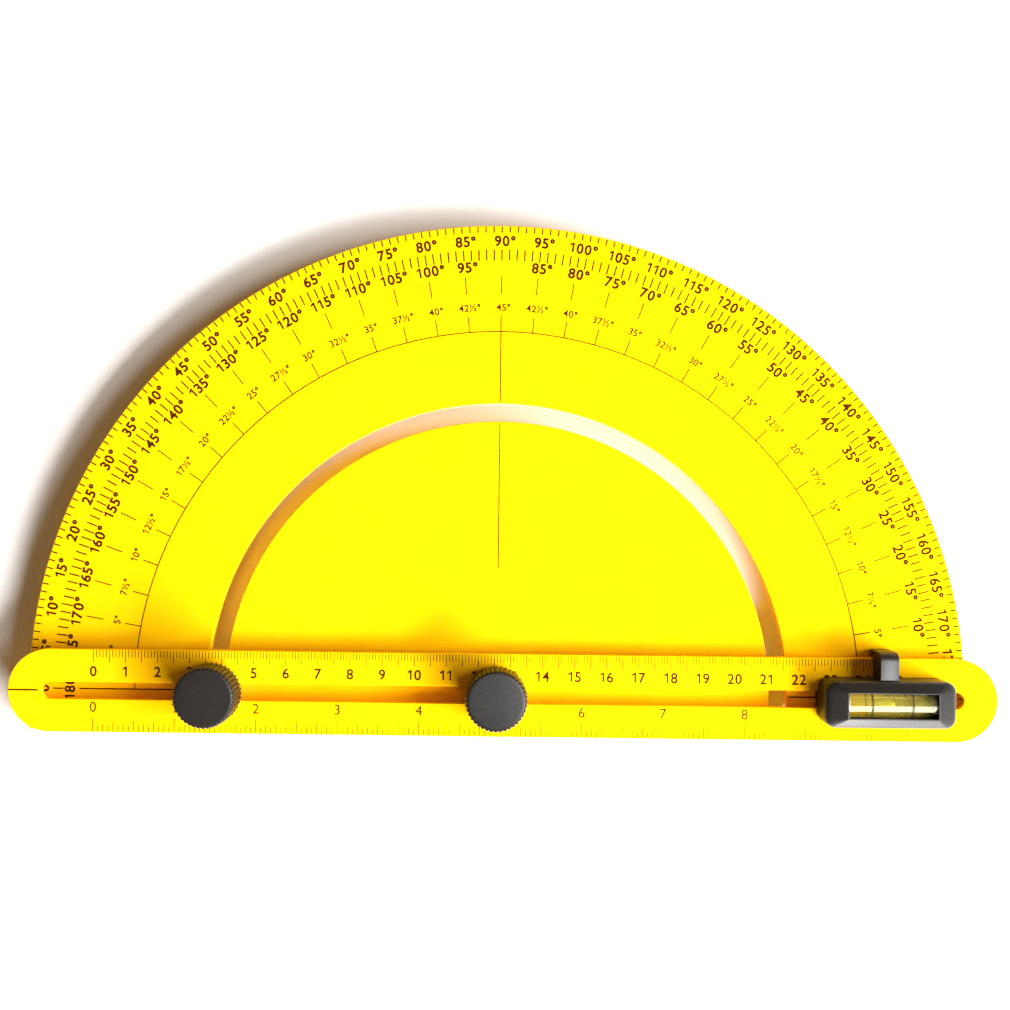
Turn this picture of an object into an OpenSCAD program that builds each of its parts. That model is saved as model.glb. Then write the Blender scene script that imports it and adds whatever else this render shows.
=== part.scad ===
// Protractor and angle finder: a half-round plate with an arc slot, a slotted rule arm that
// swings and slides on it, two clamp knobs, and a clip-on spirit level that slides on the arm.
// Millimetres. The origin is on the pivot axis, in the plane the plate stands on. +X runs
// along the rule, +Y towards the crown of the arc and +Z up through the pivot bolt.

/* [Protractor plate] */
// Radius of the half-round edge
plate_r = 147.5; // [144:0.5:150]
// How far the plate runs past the base line through the pivot
base_drop = 13; // [13:0.5:16]
// Height of the plate's upper face above the surface it stands on
plate_h = 6.4; // [6.4:0.1:8]
// Thickness of the plate's skin
skin_t = 3; // [2.6:0.1:3]
// Thickness of the rim under the plate's edge
rim_t = 2.2; // [1.6:0.1:2.6]
// Thickness of the stiffening ribs under the skin
rib_t = 1.4; // [1:0.1:1.8]

/* [Arc slot] */
// Radius of the arc slot's centre line
slot_r = 88.5; // [84:0.5:92]
// Width of the arc slot
slot_w = 5.6; // [5.6:0.1:6]
// How far each end of the slot runs past the base line, in degrees
slot_overrun = 1.2; // [0.6:0.1:2]

/* [Rule arm] */
// Length of the rule over its round ends
rule_l = 309; // [305:0.5:315]
// Width of the rule
rule_w = 26; // [25:0.5:26]
// Thickness of the rule
rule_t = 3; // [2.8:0.1:3.4]
// How far the middle of the rule lies to the right of the pivot
rule_shift = 1.9; // [0:0.1:4]
// Width of the rule's central slot
rule_slot_w = 5.3; // [5.3:0.1:5.6]
// Solid length left between each end of the slot and the end of the rule
slot_margin = 10.5; // [9:0.5:12]
// Width of the shallow guide groove under the slot
groove_w = 8.2; // [8:0.1:9]
// Depth of the guide groove
groove_d = 1.4; // [1.4:0.1:1.6]

/* [Clamps] */
// Diameter of the bolts
bolt_d = 5; // [4.8:0.05:5]
// Diameter of a knob over its ridges
knob_d = 19; // [18.5:0.1:20]
// Height of a knob
knob_h = 9.4; // [9:0.1:11]
// Number of ridges round a knob
ridges = 40; // [30:1:44]
// Diameter of the knob washers
washer_d = 16.6; // [15:0.1:17]
// Thickness of the knob washers
washer_t = 0.8; // [0.6:0.1:1]

/* [Spirit level] */
// Distance from the pivot to the middle of the level
level_x = 120; // [110:0.5:122]
// Length of the housing
level_l = 40; // [40:0.5:41]
// Width of the housing
level_w = 14.4; // [14:0.1:15]
// Height of the housing
level_h = 10; // [10:0.1:11]
// Height of the housing's upright walls, below its sloping faces
wall_h = 7.6; // [7:0.1:8]
// Radius of the housing's upright corners
corner_r = 3.4; // [3:0.1:4]
// Length of the window over the vial
window_l = 27.2; // [26:0.1:27.4]
// Width of the window over the vial
window_w = 7.6; // [7:0.1:7.8]
// Outer diameter of the vial
vial_d = 8.4; // [8:0.1:8.4]
// Length of the vial
vial_l = 29; // [28:0.1:29]
// Distance between the two rings on the vial
ring_gap = 12.3; // [11:0.1:14]
// Length of the bubble
bubble_l = 7; // [5:0.1:9]
// Width of the pointer tab that hooks over the rule's edge
tab_w = 5.6; // [5:0.1:6]

/* [Hidden] */
$fn = 96;

// Gaps between faces that slide on each other, and round a shaft
slide_gap = 0.1;
running_gap = 0.05;
// How far a cutter runs past the face it cuts, and how far merged shapes overlap
past = 1;
merge = 0.01;

// Levels of the plate and its underside
skin_z = plate_h - skin_t;
rib_z = 0.6;
rim_inner_r = plate_r - rim_t;

// The bolt in the pivot: a thin hexagon head held in a pocket
bolt_r = bolt_d / 2;
hex_af = 8;
hex_h = 2.4;
hex_gap = 0.2;
boss_r = 7.4;

// The bolt in the arc slot: a round head, and a square neck that can't turn in the slot
head_r = 6.4;
head_h = 1.8;
neck_w = 5.2;
slip_t = 0.6;
slip_bore_r = 3.9;
channel_r = head_r + 0.6;

// The stack above the plate
rule_z = plate_h + slide_gap;
rule_top = rule_z + rule_t;
washer_z = rule_top + slide_gap;
knob_z = washer_z + washer_t + running_gap;
knob_top = knob_z + knob_h;
knob_roof = 2.3;
bolt_end_gap = 0.5;
bolt_top = knob_top - knob_roof - bolt_end_gap;
washer_gap = 0.15;

// Knob details
flute_r = 0.62;
flute_out = 0.2;
knob_chamfer = 0.8;
insert_r = 4;
insert_h = 6;
band_gap_h = 1.2;
band_gap_d = 0.5;

// Level, foot and vial details
level_z = rule_top + slide_gap;
level_top = level_z + level_h;
vial_r = vial_d / 2;
vial_depth = 0.6;
vial_z = level_top - vial_r - vial_depth;
vial_wall = 0.7;
vial_gap = 0.1;
liquid_gap = 0.01;
plug_l = 1.8;
ring_w = 0.5;
ring_t = 0.06;
bubble_r = 1.9;
bubble_shift = -2.2;
bore_r = vial_r - vial_wall;
bubble_rise = 2;
foot_l = 6;
foot_margin = 0.2;
foot_shift = level_l / 2 - foot_l / 2 - foot_margin;
foot_neck_w = 5;
foot_flange_w = 7.6;
foot_flange_h = 1;
foot_z = rule_z + 0.2;
screw_r = 0.88;
screw_head_r = 1.7;
screw_head_h = 0.7;
screw_gap = 0.02;
screw_depth = 4.2;
screw_end_gap = 0.4;
tab_h = 6.4;
tab_top = level_z + tab_h;
tab_over = 2.6;
tab_round = 1.8;
tab_bottom = rule_z + 0.3;
edge_gap = 0.2;

// Half disc with a strip below its base line, all drawn in by an inset
module plate_outline(inset = 0) {
    r = plate_r - inset;
    drop = base_drop - inset;
    intersection() {
        circle(r = r, $fn = 360);
        translate([-r, 0])
            square([2 * r, r]);
    }
    translate([-r, -drop])
        square([2 * r, drop + merge]);
}

// A bar with fully round ends, centred on the origin
module stadium(length, width) {
    square([length - width, width], center = true);
    for (side = [-1, 1])
        translate([side * (length - width) / 2, 0])
            circle(r = width / 2);
}

// A wall of rectangular section that follows the arc slot, run past the base line at both ends
module arc_wall(radius, width, bottom, top, overrun) {
    rotate([0, 0, -overrun])
        rotate_extrude(angle = 180 + 2 * overrun, $fn = 360)
            translate([radius - width / 2, bottom])
                square([width, top - bottom]);
}

// The arc slot as a cutter, with round ends
module arc_slot() {
    arc_wall(slot_r, slot_w, skin_z - past, plate_h + past, slot_overrun);
    for (a = [-slot_overrun, 180 + slot_overrun])
        rotate([0, 0, a])
            translate([slot_r, 0, skin_z - past])
                cylinder(h = skin_t + 2 * past, r = slot_w / 2);
}

// Stiffening ribs under the skin: two along the arc slot, and five pairs of spokes
module underside_ribs() {
    inner_r = slot_r - channel_r - rib_t / 2;
    outer_r = slot_r + channel_r + rib_t / 2;
    run_past = 12;
    for (r = [inner_r, outer_r])
        arc_wall(r, rib_t, rib_z, skin_z, run_past);
    for (a = [30:30:150])
        rotate([0, 0, a]) {
            translate([boss_r - past, -rib_t / 2, rib_z])
                cube([inner_r - boss_r + past, rib_t, skin_z - rib_z]);
            translate([outer_r, -rib_t / 2, rib_z])
                cube([rim_inner_r - outer_r + past, rib_t, skin_z - rib_z]);
        }
}

module protractor_plate() {
    color("gold")
    difference() {
        union() {
            translate([0, 0, skin_z])
                linear_extrude(skin_t)
                    plate_outline();
            linear_extrude(skin_z)
                difference() {
                    plate_outline();
                    plate_outline(rim_t);
                }
            intersection() {
                underside_ribs();
                linear_extrude(skin_z)
                    plate_outline(rim_t / 2);
            }
            translate([0, 0, rib_z])
                cylinder(h = skin_z - rib_z, r = boss_r);
        }
        arc_slot();
        translate([0, 0, rib_z - past])
            cylinder(h = skin_z - rib_z + past, r = (hex_af + hex_gap) / 2 / cos(30), $fn = 6);
        cylinder(h = plate_h + past, r = bolt_r + slide_gap);
    }
}

module rule_arm() {
    color("gold")
    translate([rule_shift, 0, rule_z])
    difference() {
        linear_extrude(rule_t)
            stadium(rule_l, rule_w);
        translate([0, 0, -past])
            linear_extrude(rule_t + 2 * past)
                stadium(rule_l - 2 * slot_margin, rule_slot_w);
        translate([0, 0, -past])
            linear_extrude(groove_d + past)
                stadium(rule_l - 2 * slot_margin + groove_w - rule_slot_w, groove_w);
    }
}

module pivot_bolt() {
    color("silver") {
        translate([0, 0, skin_z - hex_h])
            cylinder(h = hex_h, r = hex_af / 2 / cos(30), $fn = 6);
        translate([0, 0, skin_z - hex_h / 2])
            cylinder(h = bolt_top - skin_z + hex_h / 2, r = bolt_r);
    }
}

module arc_bolt() {
    neck_z = skin_z - slide_gap - slip_t;
    color("silver")
    translate([-slot_r, 0, 0]) {
        translate([0, 0, neck_z - head_h])
            cylinder(h = head_h, r = head_r);
        translate([-neck_w / 2, -neck_w / 2, neck_z - head_h / 2])
            cube([neck_w, neck_w, plate_h - slide_gap - neck_z + head_h / 2]);
        translate([0, 0, plate_h - 2 * slide_gap])
            cylinder(h = bolt_top - plate_h + 2 * slide_gap, r = bolt_r);
    }
}

// A flat ring
module ring(outer_r, inner_r, height) {
    linear_extrude(height)
        difference() {
            circle(r = outer_r);
            circle(r = inner_r);
        }
}

module arc_slip_washer() {
    color("ivory")
    translate([-slot_r, 0, skin_z - slide_gap - slip_t])
        ring(head_r, slip_bore_r, slip_t);
}

module knob_washer(x) {
    color("ivory")
    translate([x, 0, washer_z])
        ring(washer_d / 2, bolt_r + washer_gap, washer_t);
}

module pivot_washer() {
    knob_washer(0);
}

module arc_washer() {
    knob_washer(-slot_r);
}

// Ridged outline of a knob: a circle with a ring of round flutes cut in it
module knob_outline() {
    difference() {
        circle(r = knob_d / 2);
        for (i = [0:ridges - 1])
            rotate(i * 360 / ridges)
                translate([knob_d / 2 + flute_out, 0])
                    circle(r = flute_r, $fn = 24);
    }
}

// A knob moulding, with its corners taken off top and bottom and a pocket for the insert
module knob(x) {
    r = knob_d / 2;
    c = knob_chamfer;
    color("#262626")
    translate([x, 0, knob_z])
    difference() {
        intersection() {
            linear_extrude(knob_h)
                knob_outline();
            rotate_extrude()
                polygon([[0, 0], [r - c / 2, 0], [r + past, c / 2 + past],
                    [r + past, knob_h - c - past], [r - c, knob_h], [0, knob_h]]);
        }
        translate([0, 0, -past])
            cylinder(h = insert_h + past, r = insert_r + running_gap);
        cylinder(h = knob_h - knob_roof, r = bolt_r + running_gap);
    }
}

module pivot_knob() {
    knob(0);
}

module arc_knob() {
    knob(-slot_r);
}

// A brass insert with two bands that grip the moulding and a groove between them
module knob_insert(x) {
    band_h = (insert_h - band_gap_h) / 2;
    waist_r = insert_r - band_gap_d;
    thread_r = bolt_r + running_gap;
    color("goldenrod")
    translate([x, 0, knob_z])
        rotate_extrude()
            polygon([[thread_r, 0], [insert_r, 0], [insert_r, band_h], [waist_r, band_h],
                [waist_r, band_h + band_gap_h], [insert_r, band_h + band_gap_h],
                [insert_r, insert_h], [thread_r, insert_h]]);
}

module pivot_knob_insert() {
    knob_insert(0);
}

module arc_knob_insert() {
    knob_insert(-slot_r);
}

// Level shapes are drawn about the middle of the level, on the rule's upper face
module at_level() {
    translate([level_x, 0, 0])
        children();
}

// Housing block with upright walls and four faces that slope up to the window
module housing_block() {
    half_l = level_l / 2;
    half_w = level_w / 2;
    translate([0, 0, level_z])
    intersection() {
        linear_extrude(level_h)
            union() {
                square([level_l - 2 * corner_r, level_w], center = true);
                square([level_l, level_w - 2 * corner_r], center = true);
                for (sx = [-1, 1], sy = [-1, 1])
                    translate([sx * (half_l - corner_r), sy * (half_w - corner_r)])
                        circle(r = corner_r);
            }
        rotate([90, 0, 0])
            translate([0, 0, -half_w - past])
                linear_extrude(level_w + 2 * past)
                    polygon([[-half_l, 0], [half_l, 0], [half_l, wall_h], [window_l / 2, level_h],
                        [-window_l / 2, level_h], [-half_l, wall_h]]);
        rotate([90, 0, 90])
            translate([0, 0, -half_l - past])
                linear_extrude(level_l + 2 * past)
                    polygon([[-half_w, 0], [half_w, 0], [half_w, wall_h], [window_w / 2, level_h],
                        [-window_w / 2, level_h], [-half_w, wall_h]]);
    }
}

// Pointer tab: reaches over the graduations and hooks down outside the rule's edge
module pointer_tab() {
    inner_y = rule_w / 2 + edge_gap;
    outer_y = rule_w / 2 + tab_over;
    root_y = level_w / 2 - past;
    rotate([90, 0, 90])
        translate([0, 0, -tab_w / 2])
            linear_extrude(tab_w) {
                translate([root_y, level_z])
                    square([outer_y - tab_round - root_y, tab_top - level_z]);
                translate([inner_y, tab_bottom])
                    square([outer_y - inner_y, tab_top - tab_round - tab_bottom]);
                translate([outer_y - tab_round, tab_top - tab_round])
                    circle(r = tab_round);
            }
}

module along_x(length) {
    translate([-length / 2, 0, vial_z])
        rotate([0, 90, 0])
            children();
}

module level_housing() {
    bed_l = vial_l + 2 * vial_gap;
    bed_r = vial_r + vial_gap;
    color("#2b2b2b")
    at_level()
    difference() {
        union() {
            housing_block();
            pointer_tab();
        }
        along_x(bed_l)
            cylinder(h = bed_l, r = bed_r);
        translate([-bed_l / 2, -bed_r, level_z - past])
            cube([bed_l, 2 * bed_r, vial_z - level_z + past]);
        translate([-window_l / 2, -window_w / 2, vial_z])
            cube([window_l, window_w, level_top - vial_z + past]);
        for (side = [-1, 1])
            translate([side * foot_shift, 0, level_z - past])
                cylinder(h = screw_depth + screw_end_gap + past, r = screw_r + screw_gap);
    }
}

// T-shaped foot: its neck stands in the rule's slot and its flange runs in the groove below
module level_foot(side) {
    flange_top = foot_z + foot_flange_h;
    color("#2b2b2b")
    at_level()
    translate([side * foot_shift, 0, 0])
    difference() {
        union() {
            translate([-foot_l / 2, -foot_flange_w / 2, foot_z])
                cube([foot_l, foot_flange_w, foot_flange_h]);
            translate([-foot_l / 2, -foot_neck_w / 2, flange_top - merge])
                cube([foot_l, foot_neck_w, level_z - flange_top + merge]);
        }
        translate([0, 0, foot_z - past])
            cylinder(h = level_z - foot_z + 2 * past, r = screw_r + running_gap);
        translate([0, 0, foot_z - past])
            cylinder(h = screw_head_h + past, r = screw_head_r + slide_gap);
    }
}

module level_foot_left() {
    level_foot(-1);
}

module level_foot_right() {
    level_foot(1);
}

module level_screws() {
    color("silver")
    at_level()
    for (side = [-1, 1])
        translate([side * foot_shift, 0, foot_z]) {
            cylinder(h = screw_head_h, r = screw_head_r);
            cylinder(h = level_z + screw_depth - foot_z, r = screw_r);
        }
}

module vial_tube() {
    color([0.85, 0.9, 0.7, 0.4])
    at_level()
    along_x(vial_l)
        ring(vial_r, bore_r, vial_l);
}

// The liquid fills the bore between the plugs, with the bubble scooped out of its top
module vial_liquid() {
    liquid_l = vial_l - 2 * plug_l;
    straight = bubble_l - 2 * bubble_r;
    color([0.75, 0.85, 0.1, 0.6])
    at_level()
    difference() {
        along_x(liquid_l)
            cylinder(h = liquid_l, r = bore_r - liquid_gap);
        translate([bubble_shift, 0, bubble_rise])
            along_x(straight) {
                cylinder(h = straight, r = bubble_r);
                sphere(r = bubble_r);
                translate([0, 0, straight])
                    sphere(r = bubble_r);
            }
    }
}

module vial_rings() {
    color("#1a1a1a")
    at_level()
    for (side = [-1, 1])
        translate([side * ring_gap / 2, 0, 0])
            along_x(ring_w)
                ring(vial_r + ring_t, vial_r, ring_w);
}

module vial_plug(side) {
    color("#1a1a1a")
    at_level()
    translate([side * (vial_l - plug_l) / 2, 0, 0])
        along_x(plug_l)
            cylinder(h = plug_l, r = bore_r - liquid_gap);
}

module vial_plug_left() {
    vial_plug(-1);
}

module vial_plug_right() {
    vial_plug(1);
}

protractor_plate();
rule_arm();
pivot_bolt();
arc_bolt();
arc_slip_washer();
pivot_washer();
arc_washer();
pivot_knob();
arc_knob();
pivot_knob_insert();
arc_knob_insert();
level_housing();
level_foot_left();
level_foot_right();
level_screws();
vial_tube();
vial_liquid();
vial_rings();
vial_plug_left();
vial_plug_right();
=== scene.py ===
"""Protractor and angle finder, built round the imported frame.

Shapes are worked out in millimetres and scaled to metres as each mesh is made. Places come
from the frame's own boxes, and sizes that a box can't give are named below.
"""
import math

import bmesh
import bpy
from mathutils import Matrix, Vector


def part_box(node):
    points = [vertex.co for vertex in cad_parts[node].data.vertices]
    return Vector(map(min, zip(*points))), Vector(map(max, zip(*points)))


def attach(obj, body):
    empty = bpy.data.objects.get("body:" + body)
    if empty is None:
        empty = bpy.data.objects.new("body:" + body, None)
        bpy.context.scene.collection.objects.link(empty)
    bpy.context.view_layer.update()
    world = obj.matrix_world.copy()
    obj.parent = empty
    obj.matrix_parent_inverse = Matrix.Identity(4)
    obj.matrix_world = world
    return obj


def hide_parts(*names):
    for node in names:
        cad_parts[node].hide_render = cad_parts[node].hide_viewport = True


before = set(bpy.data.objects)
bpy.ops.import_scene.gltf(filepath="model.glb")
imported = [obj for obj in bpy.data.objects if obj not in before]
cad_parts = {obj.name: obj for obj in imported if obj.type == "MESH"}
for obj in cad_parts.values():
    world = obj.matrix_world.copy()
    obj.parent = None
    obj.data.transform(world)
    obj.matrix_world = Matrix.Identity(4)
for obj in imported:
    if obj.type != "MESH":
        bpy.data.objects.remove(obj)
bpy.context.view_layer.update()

MM = 0.001


def box_mm(node):
    """A CAD node's lowest and highest corners, in millimetres."""
    low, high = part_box(node)
    return Vector(low) / MM, Vector(high) / MM


# ---------------- sizes, in millimetres

# Plate. HEX_POCKET is across flats, and LET_IN is how far the ribs and the boss reach into the skin
plate_low, plate_high = box_mm("protractor_plate")
PLATE_R = plate_high.x
BASE_DROP = -plate_low.y
PLATE_TOP = plate_high.z
SKIN_T = 3.0
RIM_T = 2.2
RIB_T = 1.4
RIB_LOW = 0.6
BOSS_R = 7.4
BOSS_OVERLAP = 0.5
HEX_POCKET = 8.2
PLATE_EDGE = 0.45
LET_IN = 0.1
SPOKE_RIB_STEP = 30

# Arc slot in the plate. CHANNEL is the distance from its middle line to the rib on each side
ARC_R = 88.5
ARC_W = 5.6
ARC_OVERRUN = math.radians(1.2)
ARC_LIP = 0.3
CHANNEL = 7.0

# Rule arm
rule_low, rule_high = box_mm("rule_arm")
RULE_L = rule_high.x - rule_low.x
RULE_W = rule_high.y - rule_low.y
RULE_X = (rule_high.x + rule_low.x) / 2
RULE_BOTTOM = rule_low.z
RULE_TOP = rule_high.z
RULE_EDGE = 0.3
RULE_LIP = 0.25
SLOT_W = 5.3
SLOT_L = RULE_L - 21.0
GROOVE_W = 8.2
GROOVE_L = SLOT_L + GROOVE_W - SLOT_W
GROOVE_D = 1.4

# Knobs. The foot is given from below as (inset, share of the ridge depth, height), and the face from
# its edge inwards as (radius, fall below the top)
knob_low, knob_high = box_mm("pivot_knob")
KNOB_R = (knob_high.x - knob_low.x) / 2
KNOB_BOTTOM = knob_low.z
KNOB_TOP = knob_high.z
RIDGES = 40
POINTS_PER_RIDGE = 8
RIDGE_DEPTH = 0.55
RIDGE_STOP = 0.25
KNOB_FOOT = ((0.45, 0.6, 0.0), (0.12, 1.0, 0.15), (0.0, 1.0, 0.5))
KNOB_FACE = ((7.6, 0.10), (5.0, 0.04), (2.5, 0.01))
KNOB_ROUND = 1.15
ROUND_STEPS = 7
ROUND_FALL = 0.12
POCKET_R = 4.05
POCKET_H = 6.0
KNOB_BORE_H = 7.1

# Knob inserts: two knurled bands with a groove between them
INSERT_R = 3.98
INSERT_WAIST = 3.5
INSERT_LIFT = 0.01
BAND_H = 2.4
GROOVE_H = 1.2
KNURL_DEPTH = 0.15
INSERT_POINTS = 96

# Bolts and washers. Each clearance is added to the bolt's radius. The round head's underside is given
# as (inset, height), and OVERLAP is how far each part of a bolt reaches into the next
BOLT_R = 2.5
THREAD_PITCH = 0.8
THREAD_DEPTH = 0.32
SHANK_CHAMFER = 0.5
BOLT_CLEARANCE = 0.1
INSERT_CLEARANCE = 0.05
WASHER_CLEARANCE = 0.15
SLIP_WASHER_BORE = 3.9
WASHER_EDGE = 0.12
HEX_CHAMFER = 0.35
HEX_INSET = 0.1
HEAD_H = 1.8
HEAD_ROUND = ((1.4, 0.0), (0.5, 0.25), (0.0, 0.9))
NECK = 2.6
NECK_DROP = 0.1
NECK_CORNER = 0.35
NECK_EDGE = 0.15
OVERLAP = 0.2

# Spirit level
level_low, level_high = box_mm("level_housing")
LEVEL_X = (level_low.x + level_high.x) / 2
LEVEL_L = level_high.x - level_low.x
LEVEL_W = 14.4
LEVEL_BOTTOM = RULE_TOP + 0.1
LEVEL_TOP = level_high.z
WALL_H = 7.6
CORNER_R = 3.4
WINDOW_L = 27.2
WINDOW_W = 7.6
RIM = 0.25
BED_GAP = 0.1
CUT_PAST = 1.0
TAB_W = 5.6
TAB_H = 6.4
TAB_OUT = level_high.y
TAB_LOW = level_low.z
TAB_ROUND = 2.6
TAB_EDGE = 0.4
TAB_ROOT = LEVEL_W / 2 - 0.6
TAB_INNER = RULE_W / 2 + 0.2
vial_low, vial_high = box_mm("vial_tube")
VIAL_R = (vial_high.z - vial_low.z) / 2
VIAL_Z = (vial_high.z + vial_low.z) / 2
VIAL_L = vial_high.x - vial_low.x
VIAL_BORE = VIAL_R - 0.7
VIAL_EDGE = 0.15
LIQUID_R = VIAL_BORE + 0.02
PLUG_L = 1.8
PLUG_R = VIAL_BORE - 0.02
PLUG_EDGE = 0.2
RING_GAP = 12.3
RING_W = 0.5
RING_INNER = VIAL_R - 0.03
RING_OUTER = VIAL_R + 0.05
BUBBLE_L = 7.0
BUBBLE_R = 1.75
BUBBLE_X = -2.2
BUBBLE_DEPTH = 0.12

# Print: thickness of the ink, widths of its lines, and how much bolder than the font its figures are
INK_T = 0.02
LINE = 0.42
FINE_LINE = 0.32
HAIR_LINE = 0.2
POINTER_LINE = 0.5
BOLD = 0.03

# Layout of the angle scales: ticks as pairs of radii, labels as the radius of their base line, and
# the gap that the centre lines leave beside the arc slot
OUTER_TICKS = (PLATE_R - PLATE_EDGE, 145.2)
OUTER_LABELS = 141.0
INNER_TICKS = (139.8, 136.4)
INNER_LABELS = 132.9
LONG_TICKS = (131.4, 126.0)
HALF_LABELS = 120.6
SHORT_TICKS = (119.0, 114.0)
MERIDIAN_END = 39.3
LABEL_CAP = 3.1
HALF_CAP = 2.15
ANGLE_STEP = 5
SLOT_GAP = 0.4

# Lettering, as shares of its cap height. FONT_CAP is the built-in font's own cap height
FONT_CAP = 0.691
DIGIT_CELL = 0.72
SIGN_GAP = 0.10
STEM = 0.13
STEM_TOP_CUT = 0.05
FLAG_REACH = 0.24
FLAG_TIP = (0.83, 0.67)
FLAG_ROOT = 0.79
DEGREE_R = 0.22
DEGREE_HOLE = 0.075
DEGREE_POINTS = 14

# Print on the rule: both scales start at one place. Inch ticks are given by their sixteenths
ZERO_X = -125.8
CM_COUNT = 25
INCH_COUNT = 10
INCH = 25.4
CM_TICK = 2.6
CM_LONG = 4.2
CM_LABEL_BASE = 8.5
INCH_LABEL_BASE = 6.4
INCH_TICKS = {16: 4.6, 8: 3.8, 4: 3.2, 2: 2.6, 1: 2.0}
POINTER_GAP = 1.0

# Print vertices nearer than this are merged
WELD = 1e-5


# ---------------- mesh helpers

def arc_points(centre, radius, start, end, steps):
    """Points along an arc, both ends included."""
    x, y = centre
    angles = [start + (end - start) * i / steps for i in range(steps + 1)]
    return [(x + radius * math.cos(a), y + radius * math.sin(a)) for a in angles]


def circle_points(radius, count, centre=(0.0, 0.0)):
    """Evenly spaced points round a circle, its first one not repeated."""
    return arc_points(centre, radius, 0.0, math.tau * (count - 1) / count, count - 1)


def polar_points(radius_at, count, centre=(0.0, 0.0)):
    """Evenly spaced points at a radius that depends on each one's angle and number."""
    points = []
    for i in range(count):
        a = math.tau * i / count
        r = radius_at(a, i)
        points.append((centre[0] + r * math.cos(a), centre[1] + r * math.sin(a)))
    return points


def bar_points(length, width, x_mid, steps):
    """A bar with fully round ends."""
    reach = (length - width) / 2
    radius = width / 2
    right = arc_points((x_mid + reach, 0.0), radius, -math.pi / 2, math.pi / 2, steps)
    left = arc_points((x_mid - reach, 0.0), radius, math.pi / 2, 1.5 * math.pi, steps)
    return right + left


def plate_points(inset, steps=360):
    """Half disc with a strip below its base line, drawn in by an inset."""
    radius = PLATE_R - inset
    drop = BASE_DROP - inset
    return arc_points((0.0, 0.0), radius, 0.0, math.pi, steps) + [(-radius, -drop), (radius, -drop)]


def arc_slot_points(grow, steps=180, end_steps=12):
    """Outline of the arc slot, made wider by grow on each side."""
    half = ARC_W / 2 + grow
    start, end = -ARC_OVERRUN, math.pi + ARC_OVERRUN
    first = (ARC_R * math.cos(start), ARC_R * math.sin(start))
    last = (ARC_R * math.cos(end), ARC_R * math.sin(end))
    outer = arc_points((0.0, 0.0), ARC_R + half, start, end, steps)
    far_end = arc_points(last, half, end, end + math.pi, end_steps)[1:-1]
    inner = arc_points((0.0, 0.0), ARC_R - half, end, start, steps)
    near_end = arc_points(first, half, start - math.pi, start, end_steps)[1:-1]
    return outer + far_end + inner + near_end


def rounded(depth, steps=4):
    """Quarter-round edge as (inset, distance below the face) pairs, from the face outwards."""
    angles = [math.pi / 2 * i / steps for i in range(steps + 1)]
    return [(depth * (1 - math.sin(a)), depth * (1 - math.cos(a))) for a in angles]


class Shell:
    """A closed surface built from rings of points, joined by walls and closed by caps."""

    def __init__(self):
        self.bm = bmesh.new()

    def ring(self, points, z):
        return [self.bm.verts.new((x, y, z)) for x, y in points]

    def wall(self, rings):
        """Faces from each ring to the next, where a ring may be one point on an axis."""
        for a, b in zip(rings, rings[1:]):
            count = max(len(a), len(b))
            for i in range(count):
                j = (i + 1) % count
                if len(a) == 1:
                    self.bm.faces.new((a[0], b[j], b[i]))
                elif len(b) == 1:
                    self.bm.faces.new((a[i], a[j], b[0]))
                else:
                    self.bm.faces.new((a[i], a[j], b[j], b[i]))

    def cap(self, *rings):
        """A flat face inside a ring, or between a ring and the holes in it."""
        edges = []
        for ring in rings:
            for i, vert in enumerate(ring):
                pair = (vert, ring[(i + 1) % len(ring)])
                edges.append(self.bm.edges.get(pair) or self.bm.edges.new(pair))
        bmesh.ops.triangle_fill(self.bm, use_beauty=True, use_dissolve=False, edges=edges)

    def solid(self, rings):
        """A wall through the rings, closed at both ends."""
        self.wall(rings)
        self.cap(rings[0])
        self.cap(rings[-1])

    def edged(self, points, high, low, edge):
        """A wall with the same rounded edge at top and bottom, as its rings from the top down."""
        steps = rounded(edge)
        rings = [self.ring(points(inset), high - fall) for inset, fall in steps]
        rings += [self.ring(points(inset), low + rise) for inset, rise in reversed(steps)]
        self.wall(rings)
        return rings

    def prism(self, points, low, high, edge=0.0):
        """A closed block with the same rounded edge at top and bottom.

        points(inset) gives its outline."""
        steps = rounded(edge) if edge else [(0.0, 0.0)]
        rings = [self.ring(points(inset), low + rise) for inset, rise in steps]
        rings += [self.ring(points(inset), high - fall) for inset, fall in reversed(steps)]
        self.solid(rings)

    def lathe(self, profile, count=64, axis_x=False, centre=(0.0, 0.0, 0.0)):
        """Turns a closed (radius, height) profile; a radius of 0 closes it on the axis."""
        made = []
        for radius, height in profile:
            points = circle_points(radius, count) if radius else [(0.0, 0.0)]
            made.append([self.bm.verts.new(self.place(x, y, height, axis_x, centre)) for x, y in points])
        if len(made[0]) > 1 and len(made[-1]) > 1:
            made.append(made[0])
        self.wall(made)

    @staticmethod
    def place(x, y, height, axis_x, centre):
        """A point at a height along the axis, which runs along X or Z through a centre."""
        cx, cy, cz = centre
        return (cx + height, cy + x, cz + y) if axis_x else (cx + x, cy + y, cz + height)

    def finish(self, name, material, sharp=40.0, weighted=True):
        """Scales the mesh to metres, shades it and links it as an object."""
        bmesh.ops.recalc_face_normals(self.bm, faces=self.bm.faces)
        self.bm.transform(Matrix.Scale(MM, 4))
        mesh = bpy.data.meshes.new(name)
        self.bm.to_mesh(mesh)
        self.bm.free()
        mesh.shade_smooth()
        mesh.set_sharp_from_angle(angle=math.radians(sharp))
        mesh.materials.append(material)
        obj = add_object(name, mesh)
        if weighted:
            obj.modifiers.new("Weighted normals", "WEIGHTED_NORMAL").keep_sharp = True
        return obj


def add_object(name, data):
    obj = bpy.data.objects.new(name, data)
    bpy.context.scene.collection.objects.link(obj)
    return obj


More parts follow.
